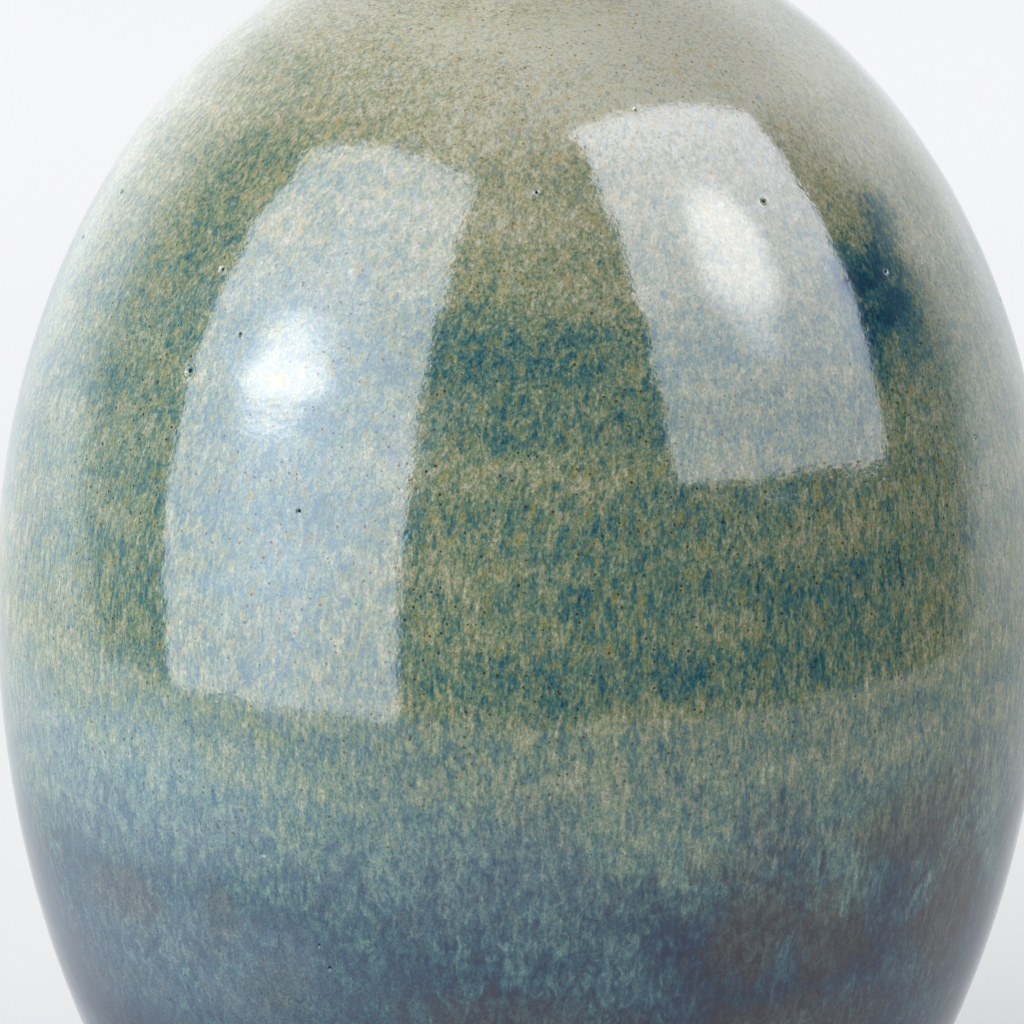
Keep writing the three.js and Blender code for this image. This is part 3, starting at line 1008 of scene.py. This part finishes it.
def box_frame(yaw, tilt, roll):
    """The middle of a softbox's plane and its two directions, across and up."""
    yaw, tilt, roll = map(math.radians, (yaw, tilt, roll))
    to_box = Vector((math.sin(yaw) * math.cos(tilt), -math.cos(yaw) * math.cos(tilt), math.sin(tilt)))
    across = Vector((math.cos(yaw), math.sin(yaw), 0))
    up = across.cross(to_box)
    up = up if up.z > 0 else -up
    turned_across = across * math.cos(roll) + up * math.sin(roll)
    turned_up = up * math.cos(roll) - across * math.sin(roll)
    middle = Vector((0, 0, BELLY_HEIGHT)) + to_box * BOX_DISTANCE
    return middle, turned_across, turned_up, to_box


def softbox(name, yaw, tilt, roll, left, right, bottom, top, glow, watts):
    """A softbox: a glowing sheet that only the gloss sees, and an area lamp for its light."""
    middle, across, up, to_box = box_frame(yaw, tilt, roll)
    mesh = bpy.data.meshes.new(name)
    corners = [(left, bottom, 0), (right, bottom, 0), (right, top, 0), (left, top, 0)]
    mesh.from_pydata(corners, [], [(0, 1, 2, 3)])
    mesh.materials.append(glow)
    sheet = bpy.data.objects.new(name, mesh)
    basis = [[across[k], up[k], to_box[k], middle[k]] for k in range(3)] + [[0, 0, 0, 1]]
    sheet.matrix_world = Matrix(basis)
    bpy.context.scene.collection.objects.link(sheet)
    for ray in ("camera", "diffuse", "shadow", "transmission", "volume_scatter"):
        setattr(sheet, "visible_" + ray, False)

    light = bpy.data.lights.new(name + "_lamp", "AREA")
    light.shape = "RECTANGLE"
    light.size, light.size_y = right - left, top - bottom
    light.energy = watts
    lamp = bpy.data.objects.new(name + "_lamp", light)
    offset = across * (left + right) / 2 + up * (bottom + top) / 2
    basis = [[across[k], up[k], to_box[k], (middle + offset)[k]] for k in range(3)] + [[0, 0, 0, 1]]
    lamp.matrix_world = Matrix(basis)
    lamp.visible_glossy = False
    lamp.visible_camera = False
    bpy.context.scene.collection.objects.link(lamp)


def box_glow(name, colour, low, high, from_v, to_v, top, hot, hot_colour, hot_at, hot_size):
    """The cloth of a softbox: even, with a hot spot in front of its lamp."""
    material = bpy.data.materials.new(name)
    material.use_nodes = True
    material.node_tree.nodes.clear()
    s = Shader(material.node_tree)
    place = s.node("ShaderNodeTexCoord").outputs["Object"]
    away = s.vector("SUBTRACT", place, (hot_at[0], hot_at[1], 0))
    away = s.vector("MULTIPLY", away, (1 / hot_size[0], 1 / hot_size[1], 0))
    x, y, _ = s.split(away)
    reach = s.math("POWER", s.add(s.times(x, x), s.times(y, y)), 3.0)
    fall = s.math("EXPONENT", s.times(reach, -1.0))
    level = s.between(s.split(place)[1], from_v, to_v, low, high)
    dissolve = s.between(s.split(place)[1], top, top - BOX_DISSOLVE)
    strength = s.times(s.add(level, s.times(fall, hot)), dissolve)
    cloth = s.mix(fall, colour, hot_colour)
    glow = s.node("ShaderNodeEmission", {"Color": cloth, "Strength": strength})
    out = s.node("ShaderNodeOutputMaterial")
    s.tree.links.new(glow.outputs[0], out.inputs["Surface"])
    return material


def room():
    """What surrounds the set. The gloss sees a dark room in front, a pale sweep behind, and a
    soft ceiling light; everything else gets an even fill."""
    world = bpy.data.worlds.new("room")
    world.use_nodes = True
    world.node_tree.nodes.clear()
    s = Shader(world.node_tree)
    x, y, z = s.split(s.node("ShaderNodeTexCoord").outputs["Generated"])
    rays = s.node("ShaderNodeLightPath").outputs
    window = s.between(x, 0.1, -0.7)
    # How far a direction is behind, or far above, the dark front of the room.
    high = s.math("MAXIMUM", s.math("SUBTRACT", z, 0.25), 0.0)
    low = s.math("MAXIMUM", s.math("SUBTRACT", 0.1, z), 0.0)
    raised = s.add(y, s.times(high, high, 1.1), s.times(low, s.add(0.55, s.times(window, 0.3))))
    behind = s.between(raised, 0.36, 0.66)
    upper_right = s.times(s.between(x, -0.1, 0.5), s.between(z, 0.1, 0.5), 0.65)
    level = s.add(1.37, s.times(window, s.between(z, 0.5, 0.2), 0.55), upper_right)
    level = s.times(level, s.between(y, 0.91, 0.966, 1.0, 0.85), s.between(z, -0.22, 0.0, 0.7, 1.0))
    ceiling = s.between(z, 0.40, 0.90)
    level = s.add(s.times(level, s.math("SUBTRACT", 1.0, ceiling)), s.times(ceiling, 0.5))
    gloss = s.add(0.05, s.times(behind, level))
    fill = s.add(s.between(z, -0.3, 1.0, 0.06, 0.38), s.times(window, 0.50))
    camera = rays["Is Camera Ray"]
    glossy = rays["Is Glossy Ray"]
    strength = s.add(
        s.times(glossy, gloss),
        s.times(camera, 0.9),
        s.times(s.math("SUBTRACT", 1.0, s.math("MAXIMUM", camera, glossy)), fill),
    )
    tint = s.mix(window, (0.95, 0.985, 1.04, 1), (0.92, 0.97, 1.08, 1))
    tint = s.mix(rays["Is Camera Ray"], tint, (0.99, 1.0, 1.02, 1))
    background = s.node("ShaderNodeBackground", {"Color": tint, "Strength": strength})
    out = s.node("ShaderNodeOutputWorld")
    s.tree.links.new(background.outputs[0], out.inputs["Surface"])
    world.cycles.sampling_method = "NONE"
    bpy.context.scene.world = world


def studio():
    floor = pale_floor("pale_sweep")
    sweep = disc("sweep", FLOOR_RADIUS, (0, 0), -0.0004, floor)
    sweep.visible_glossy = False
    disc("table_top", TABLE_RADIUS, TABLE_MIDDLE, -0.00005, floor)
    left_glow = box_glow(
        "left_cloth", colour=(0.90, 0.94, 1.11, 1), low=4.5, high=5.0, from_v=-0.25, to_v=0.10,
        top=LEFT_TOP, hot=8.0, hot_colour=(1.0, 0.955, 0.95, 1), hot_at=(-0.195, 0.125),
        hot_size=(0.118, 0.062),
    )
    right_glow = box_glow(
        "right_cloth", colour=(0.89, 0.945, 1.12, 1), low=3.1, high=5.6, from_v=-0.12, to_v=0.28,
        top=RIGHT_TOP, hot=5.5, hot_colour=(0.97, 0.97, 1.06, 1), hot_at=(0.150, 0.170),
        hot_size=(0.090, 0.120),
    )
    softbox(
        "left_box", yaw=-36.6, tilt=14.5, roll=2.5, left=-0.515, right=0.105, bottom=-0.40,
        top=LEFT_TOP, glow=left_glow, watts=3.6,
    )
    softbox(
        "right_box", yaw=41.8, tilt=27.9, roll=-3.7, left=-0.075, right=0.505, bottom=-0.12,
        top=RIGHT_TOP, glow=right_glow, watts=1.0,
    )
    room()
    bpy.context.scene.view_settings.view_transform = "Standard"


CAMERA_LENS, CAMERA_SENSOR = 292.8, 36  # millimetres
CAMERA_ELEVATION, CAMERA_ROLL = 15, 0.90  # degrees
CAMERA_DISTANCE = 0.9
CAMERA_AIM = Vector((-1.27 * MM, 0, 85.58 * MM))


def camera():
    """Where the photograph was taken from: close up, with a long lens, a little above."""
    lens = bpy.data.cameras.new("camera")
    lens.lens = CAMERA_LENS
    lens.sensor_width = CAMERA_SENSOR
    lens.clip_start = 0.05
    lens.clip_end = 20
    elevation, roll = math.radians(CAMERA_ELEVATION), math.radians(CAMERA_ROLL)
    ahead = Vector((0, math.cos(elevation), -math.sin(elevation)))
    right = Vector((1, 0, 0))
    up = right.cross(ahead)
    turned_right = right * math.cos(roll) + up * math.sin(roll)
    turned_up = up * math.cos(roll) - right * math.sin(roll)
    place = CAMERA_AIM - ahead * CAMERA_DISTANCE
    rows = [[turned_right[k], turned_up[k], -ahead[k], place[k]] for k in range(3)]
    obj = bpy.data.objects.new("camera", lens)
    obj.matrix_world = Matrix(rows + [[0, 0, 0, 1]])
    bpy.context.scene.collection.objects.link(obj)
    bpy.context.scene.camera = obj


def vase():
    glaze = outer_glaze()
    clay = fired_clay("bare_clay", srgb(190, 158, 122), srgb(148, 112, 80), srgb(58, 42, 34))
    slip = fired_clay("slip", srgb(160, 128, 98), srgb(118, 88, 64), srgb(52, 40, 34))
    foot_clay(clay)
    lower_clay(clay)
    upper_clay(clay)
    neck_clay(clay)
    slip_seams(slip)
    coat_liner(liner_glaze())
    coat_base(glaze)
    coat_over(glaze)


vase()
studio()
camera()
